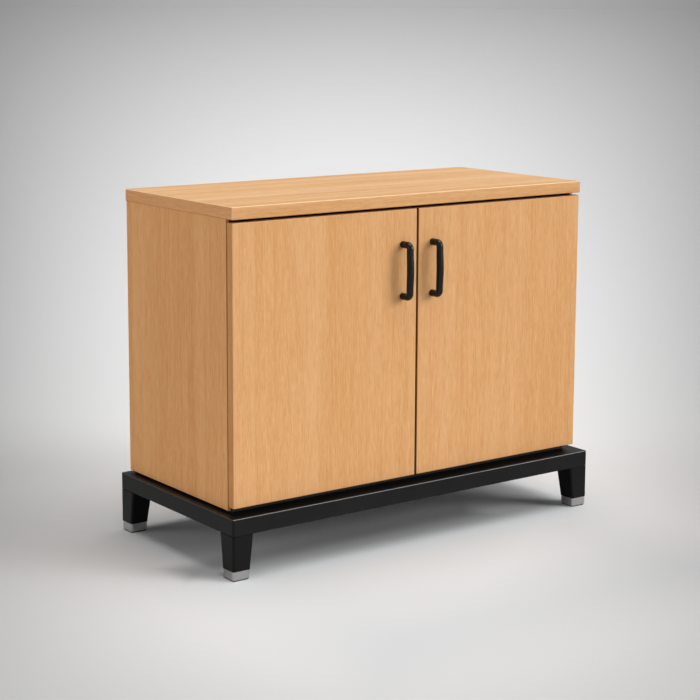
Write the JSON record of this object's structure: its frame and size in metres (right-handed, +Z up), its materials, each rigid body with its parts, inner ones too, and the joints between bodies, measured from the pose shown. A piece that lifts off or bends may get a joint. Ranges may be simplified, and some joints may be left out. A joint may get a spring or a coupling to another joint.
{
  "type": "office credenza",
  "caption": "Office credenza: light beech laminate cabinet with full-overlay doors and black bowed pulls, on a black steel frame with tapered legs and satin-nickel leg caps.",
  "frame": {"origin": "on the floor, under the middle of the overall box", "axes": "+Z up, the doors face -Y, +X to the right of a person who faces the doors"},
  "size_m": [0.9484, 0.4524, 0.7366],
  "materials": {
    "laminate_top": "satin light beech laminate, grain along X",
    "edge_band_top": "satin light beech edge band, grain along the edge",
    "laminate_door": "satin light beech laminate, grain upright",
    "edge_band_door": "satin light beech edge band",
    "laminate_side": "satin light beech laminate, grain upright",
    "edge_band_carcass": "satin light beech edge band",
    "laminate_inside": "satin light beech laminate",
    "beech_dowel": "plain beech",
    "black_pull": "satin black coat on cast zinc",
    "black_frame": "satin black powder coat on steel tube",
    "black_leg": "satin black powder coat on steel",
    "black_spacer": "matt black",
    "satin_nickel_cap": "satin nickel plate",
    "black_nylon": "matt black nylon",
    "bumper_rubber": "clear grey soft polymer",
    "nickel_hinge": "bright nickel-plated pressed steel",
    "zinc_steel": "zinc-plated steel"
  },
  "bodies": {
    "cabinet": {"back_panel": "laminate_inside", "base_bolts": "zinc_steel", "base_cross_rails": "black_frame", "base_front_rail": "black_frame", "base_left_rail": "black_frame", "base_plinth_strips": "black_spacer", "base_rear_rail": "black_frame", "base_right_rail": "black_frame", "base_spacer_blocks": "black_spacer", "bottom_panel": "laminate_inside", "carcass_dowels": "beech_dowel", "carcass_edge_bands": "edge_band_carcass", "hinge_arm_screws": "zinc_steel", "hinge_mounting_plates": "nickel_hinge", "hinge_plate_screws": "zinc_steel", "left_front_leg": "black_leg", "left_front_leg_cap": "satin_nickel_cap", "left_lower_hinge_arm": "nickel_hinge", "left_rear_leg": "black_leg", "left_rear_leg_cap": "satin_nickel_cap", "left_side_panel": "laminate_side", "left_upper_hinge_arm": "nickel_hinge", "leg_bolts": "zinc_steel", "leg_glides": "black_nylon", "leg_plugs": "black_nylon", "right_front_leg": "black_leg", "right_front_leg_cap": "satin_nickel_cap", "right_lower_hinge_arm": "nickel_hinge", "right_rear_leg": "black_leg", "right_rear_leg_cap": "satin_nickel_cap", "right_side_panel": "laminate_side", "right_upper_hinge_arm": "nickel_hinge", "shelf": "laminate_inside", "shelf_edge_band": "edge_band_carcass", "shelf_pins": "zinc_steel", "top_edge_band": "edge_band_top", "top_fixing_screws": "zinc_steel", "top_front_stretcher": "laminate_inside", "top_panel": "laminate_top", "top_rear_stretcher": "laminate_inside"},
    "left_outer_link_pair": {"left_outer_links": "nickel_hinge"},
    "left_door_leaf": {"left_door": "laminate_door", "left_door_edge_band": "edge_band_door", "left_handle": "black_pull", "left_handle_screws": "zinc_steel", "left_door_bumpers": "bumper_rubber", "left_upper_hinge_cup": "nickel_hinge", "left_lower_hinge_cup": "nickel_hinge", "left_cup_screws": "zinc_steel"},
    "left_inner_link_pair": {"left_inner_links": "nickel_hinge"},
    "right_outer_link_pair": {"right_outer_links": "nickel_hinge"},
    "right_door_leaf": {"right_door": "laminate_door", "right_door_edge_band": "edge_band_door", "right_handle": "black_pull", "right_handle_screws": "zinc_steel", "right_door_bumpers": "bumper_rubber", "right_upper_hinge_cup": "nickel_hinge", "right_lower_hinge_cup": "nickel_hinge", "right_cup_screws": "zinc_steel"},
    "right_inner_link_pair": {"right_inner_links": "nickel_hinge"}
  },
  "joints": [
    {"name": "left_outer_link_swing", "type": "hinge", "parent": "cabinet", "child": "left_outer_link_pair", "pos_m": [-0.424, -0.15605, 0.422], "axis": [0, 0, 1], "range_deg": [0, 30.25]},
    {"name": "left_door_swing", "type": "hinge", "parent": "left_outer_link_pair", "child": "left_door_leaf", "pos_m": [-0.4454, -0.17435, 0.422], "axis": [0, 0, -1], "range_deg": [0, 125.2]},
    {"name": "left_inner_link_swing", "type": "hinge", "parent": "left_door_leaf", "child": "left_inner_link_pair", "pos_m": [-0.4424, -0.17955, 0.422], "axis": [0, 0, 1], "range_deg": [0, 109.35]},
    {"name": "right_outer_link_swing", "type": "hinge", "parent": "cabinet", "child": "right_outer_link_pair", "pos_m": [0.424, -0.15605, 0.422], "axis": [0, 0, -1], "range_deg": [0, 30.25]},
    {"name": "right_door_swing", "type": "hinge", "parent": "right_outer_link_pair", "child": "right_door_leaf", "pos_m": [0.4454, -0.17435, 0.422], "axis": [0, 0, 1], "range_deg": [0, 125.2]},
    {"name": "right_inner_link_swing", "type": "hinge", "parent": "right_door_leaf", "child": "right_inner_link_pair", "pos_m": [0.4424, -0.17955, 0.422], "axis": [0, 0, -1], "range_deg": [0, 109.35]}
  ],
  "couplings": [
    {"joint": "left_outer_link_swing", "follows": "left_door_swing", "ratio": 0.24122},
    {"joint": "left_inner_link_swing", "follows": "left_door_swing", "ratio": 0.8731},
    {"joint": "right_outer_link_swing", "follows": "right_door_swing", "ratio": 0.24122},
    {"joint": "right_inner_link_swing", "follows": "right_door_swing", "ratio": 0.8731}
  ]
}
